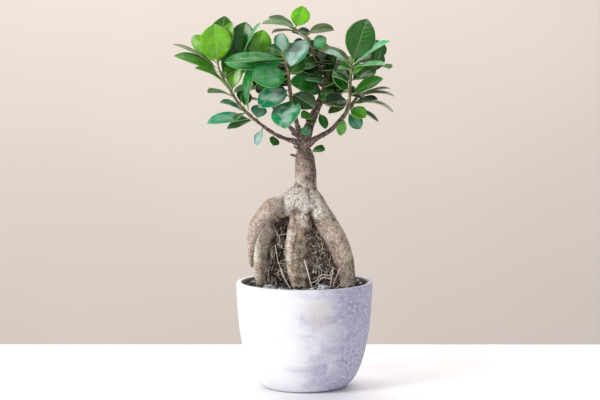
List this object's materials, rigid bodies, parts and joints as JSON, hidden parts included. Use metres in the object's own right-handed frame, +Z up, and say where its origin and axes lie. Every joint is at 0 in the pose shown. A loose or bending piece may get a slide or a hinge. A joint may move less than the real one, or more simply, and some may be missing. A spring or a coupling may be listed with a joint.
{
  "type": "potted ginseng fig bonsai",
  "caption": "Small fig tree grown as a bonsai on thick bare leg-like roots, with glossy oval leaves, in a plain round tapered pot of soil.",
  "frame": {"origin": "centre of the pot's flat base, on the surface it stands on", "axes": "+Z up along the pot's axis, -Y towards the tree's front, +X to the right as seen from the front"},
  "size_m": [0.224, 0.1493, 0.391],
  "materials": {
    "pot": "matt whitewashed cement look, faintly mottled",
    "soil": "dark loose potting mix of bark and peat",
    "bark": "pale grey-brown living bark, speckled",
    "young_bark": "young brown to green bark",
    "leaf": "glossy leathery leaf",
    "pebble": "dusty grey gravel",
    "fine_roots": "dry tan fibres"
  },
  "bodies": {
    "root": {"aerial_root": "fine_roots", "branch_back_left": "young_bark", "branch_centre": "young_bark", "branch_left": "young_bark", "branch_main": "young_bark", "branch_right": "young_bark", "fine_roots_left": "fine_roots", "fine_roots_right": "fine_roots", "leaf_back_1": "leaf", "leaf_back_2": "leaf", "leaf_back_left_1": "leaf", "leaf_back_left_2": "leaf", "leaf_back_right_1": "leaf", "leaf_back_right_2": "leaf", "leaf_centre_1": "leaf", "leaf_centre_2": "leaf", "leaf_centre_3": "leaf", "leaf_centre_4": "leaf", "leaf_centre_5": "leaf", "leaf_centre_6": "leaf", "leaf_far_right_1": "leaf", "leaf_far_right_2": "leaf", "leaf_far_right_3": "leaf", "leaf_left_1": "leaf", "leaf_left_10": "leaf", "leaf_left_2": "leaf", "leaf_left_3": "leaf", "leaf_left_4": "leaf", "leaf_left_5": "leaf", "leaf_left_6": "leaf", "leaf_left_7": "leaf", "leaf_left_8": "leaf", "leaf_left_9": "leaf", "leaf_main_1": "leaf", "leaf_right_1": "leaf", "leaf_right_2": "leaf", "leaf_right_3": "leaf", "leaf_right_4": "leaf", "leaf_right_5": "leaf", "leaf_right_6": "leaf", "leaf_right_7": "leaf", "leaf_top_1": "leaf", "leaf_top_2": "leaf", "leaf_top_3": "leaf", "leaf_top_4": "leaf", "leaf_top_5": "leaf", "leaf_trunk": "leaf", "leaf_upper_left_1": "leaf", "leaf_upper_left_2": "leaf", "leaf_upper_left_3": "leaf", "pebble_left": "pebble", "pebble_right": "pebble", "pot": "pot", "soil": "soil", "trunk": "bark", "twig_back": "young_bark", "twig_back_right": "young_bark", "twig_far_right": "young_bark", "twig_top": "young_bark", "twig_upper_left": "young_bark"}
  },
  "joints": []
}
